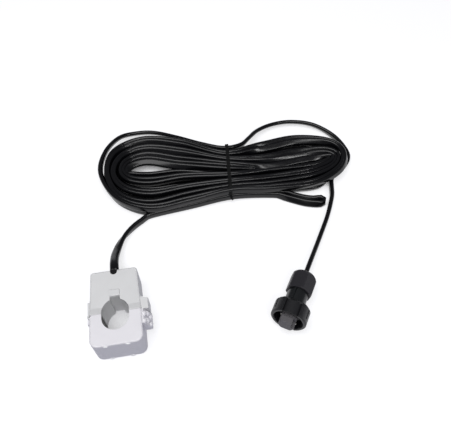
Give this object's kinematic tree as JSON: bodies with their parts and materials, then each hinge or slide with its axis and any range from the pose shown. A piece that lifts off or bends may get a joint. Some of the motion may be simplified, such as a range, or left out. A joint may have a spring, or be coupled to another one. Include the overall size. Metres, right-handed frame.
{
  "type": "split-core current transformer",
  "caption": "Split-core current transformer with a hinged jaw round a 16 mm conductor window, on a hanked flat two-core lead with a sealed round connector.",
  "frame": {"origin": "centre of the conductor window in the plane that the housing's back rests on", "axes": "+Z along the conductor window from back to front, +Y towards the end where the lead leaves"},
  "size_m": [0.1895, 0.1725, 0.022],
  "materials": {
    "shell": "satin moulded",
    "ferrite": "ground pole faces",
    "bobbin": "moulded",
    "winding": "enamelled wire",
    "board": "solder mask",
    "resistor": "lacquer",
    "diode": "clear",
    "wire": "extruded",
    "steel": "bright",
    "liner": "moulded",
    "cable": "satin extruded",
    "tie": "extruded",
    "connector": "moulded",
    "insert": "moulded",
    "seal": "moulded",
    "contact": "plated"
  },
  "bodies": {
    "housing": {"body_case": "shell", "back_cover": "shell", "body_core": "ferrite", "bobbin": "bobbin", "secondary_winding": "winding", "circuit_board": "board", "burden_resistor": "resistor", "clamp_diode": "diode", "lead_wires": "wire", "cable_clamp": "cable", "hinge_pin": "steel", "cable_lead": "cable", "cable_hank": "cable", "cable_tail": "cable", "hank_tie": "tie", "gland_nut": "connector", "gland_seal": "seal", "connector_body": "connector", "connector_o_ring": "seal", "contact_carrier": "insert", "contact_pins": "contact"},
    "jaw": {"jaw_case": "shell", "jaw_liner": "liner", "jaw_core": "ferrite", "jaw_spring": "steel", "jaw_end_cover": "shell"},
    "coupling": {"coupling_ring": "connector"}
  },
  "joints": [
    {"name": "jaw_hinge", "type": "hinge", "parent": "housing", "child": "jaw", "pos_m": [-0.0152, 0.001, 0.0104], "axis": [0, 0, -1], "range_deg": [0, 100]},
    {"name": "ring_turn", "type": "hinge", "parent": "housing", "child": "coupling", "pos_m": [0.0996, -0.0158, 0.0119], "axis": [-0.5344, -0.8388, 0.1045], "continuous": true}
  ]
}
